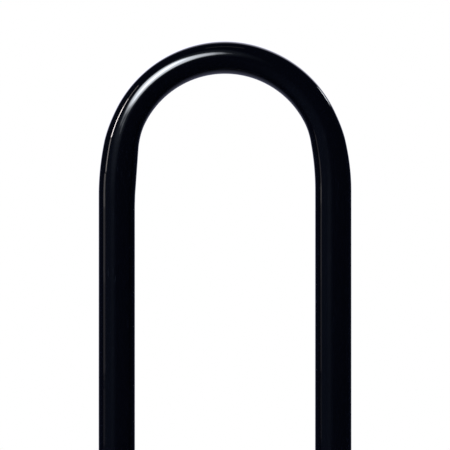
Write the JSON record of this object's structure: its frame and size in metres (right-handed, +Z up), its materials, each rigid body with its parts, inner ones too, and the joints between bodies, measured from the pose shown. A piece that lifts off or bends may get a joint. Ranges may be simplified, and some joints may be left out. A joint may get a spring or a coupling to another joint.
{
  "type": "u lock",
  "caption": "Long-shackle bicycle U lock: black-sleeved steel shackle that lifts out of a crossbar with a key-turned double deadbolt and a sliding keyway cover.",
  "frame": {"origin": "middle of the flat underside of the crossbar, below the key's axis", "axes": "+X along the crossbar, -Y to the front where the key goes in, +Z up the legs to the crown of the shackle"},
  "size_m": [0.184, 0.084, 0.3148],
  "materials": {
    "sleeve_black": "glossy near-black coat with fine scratches",
    "seal_rubber": "satin",
    "hardened_steel": "satin, zinc plated",
    "cover_black": "fine grain",
    "cap_black": "fine grain",
    "housing_black": "semi-gloss",
    "bush_black": "smooth",
    "stop_rubber": "matt",
    "fastener_steel": "black oxide",
    "badge_aluminium": "brushed",
    "slide_black": "semi-gloss",
    "cylinder_steel": "turned",
    "core_brass": "turned",
    "disc_brass": "stamped",
    "plate_steel": "ground",
    "guide_zinc": "die cast",
    "bolt_steel": "ground",
    "key_steel": "nickel plated",
    "grip_black": "fine grain"
  },
  "bodies": {
    "crossbar": {"crossbar_tube": "hardened_steel", "crossbar_cover": "cover_black", "left_end_cap": "cap_black", "right_end_cap": "cap_black", "left_end_plug": "plate_steel", "right_end_plug": "plate_steel", "end_pins": "fastener_steel", "left_leg_bush": "bush_black", "right_leg_bush": "bush_black", "left_leg_stop": "stop_rubber", "right_leg_stop": "stop_rubber", "lock_housing": "housing_black", "housing_screws": "fastener_steel", "badge_plate": "badge_aluminium", "left_bolt_guide": "guide_zinc", "right_bolt_guide": "guide_zinc", "mechanism_carrier": "guide_zinc", "carrier_screw": "fastener_steel", "cylinder_body": "cylinder_steel", "cylinder_dowels": "plate_steel"},
    "shackle": {"shackle_bar": "hardened_steel", "shackle_sleeve": "sleeve_black", "left_leg_seal": "seal_rubber", "right_leg_seal": "seal_rubber"},
    "lock_core": {"core_barrel": "core_brass", "anti_drill_plate": "plate_steel", "detainer_disc_1": "disc_brass", "detainer_disc_2": "disc_brass", "detainer_disc_3": "disc_brass", "detainer_disc_4": "disc_brass", "detainer_disc_5": "disc_brass", "detainer_disc_6": "disc_brass", "detainer_disc_7": "disc_brass", "disc_spacer_1": "plate_steel", "disc_spacer_2": "plate_steel", "disc_spacer_3": "plate_steel", "disc_spacer_4": "plate_steel", "disc_spacer_5": "plate_steel", "disc_spacer_6": "plate_steel", "sidebar": "plate_steel", "cam_plate": "plate_steel", "cam_pins": "bolt_steel", "cam_circlip": "fastener_steel"},
    "left_bolt": {"left_deadbolt": "bolt_steel"},
    "right_bolt": {"right_deadbolt": "bolt_steel"},
    "key": {"key_blade": "key_steel", "key_grip": "grip_black"},
    "keyway_cover": {"dust_cover": "slide_black"}
  },
  "joints": [
    {"name": "shackle_slide", "type": "slide", "parent": "crossbar", "child": "shackle", "axis": [0, 0, 1], "range_m": [0, 0.06]},
    {"name": "key_turn", "type": "hinge", "parent": "crossbar", "child": "lock_core", "pos_m": [0, 0, 0.0215], "axis": [0, -1, 0], "range_deg": [0, 90]},
    {"name": "left_bolt_slide", "type": "slide", "parent": "crossbar", "child": "left_bolt", "axis": [-1, 0, 0], "range_m": [0, 0.0094]},
    {"name": "right_bolt_slide", "type": "slide", "parent": "crossbar", "child": "right_bolt", "axis": [1, 0, 0], "range_m": [0, 0.0094]},
    {"name": "key_withdraw", "type": "slide", "parent": "lock_core", "child": "key", "axis": [0, -1, 0], "range_m": [0, 0.05]},
    {"name": "dust_cover_slide", "type": "slide", "parent": "crossbar", "child": "keyway_cover", "axis": [-1, 0, 0], "range_m": [0, 0.022]}
  ],
  "couplings": [
    {"joint": "left_bolt_slide", "follows": "key_turn", "m_per_rad": 0.00598},
    {"joint": "right_bolt_slide", "follows": "key_turn", "m_per_rad": 0.00598},
    {"joint": "dust_cover_slide", "follows": "key_withdraw", "ratio": 0.44}
  ]
}
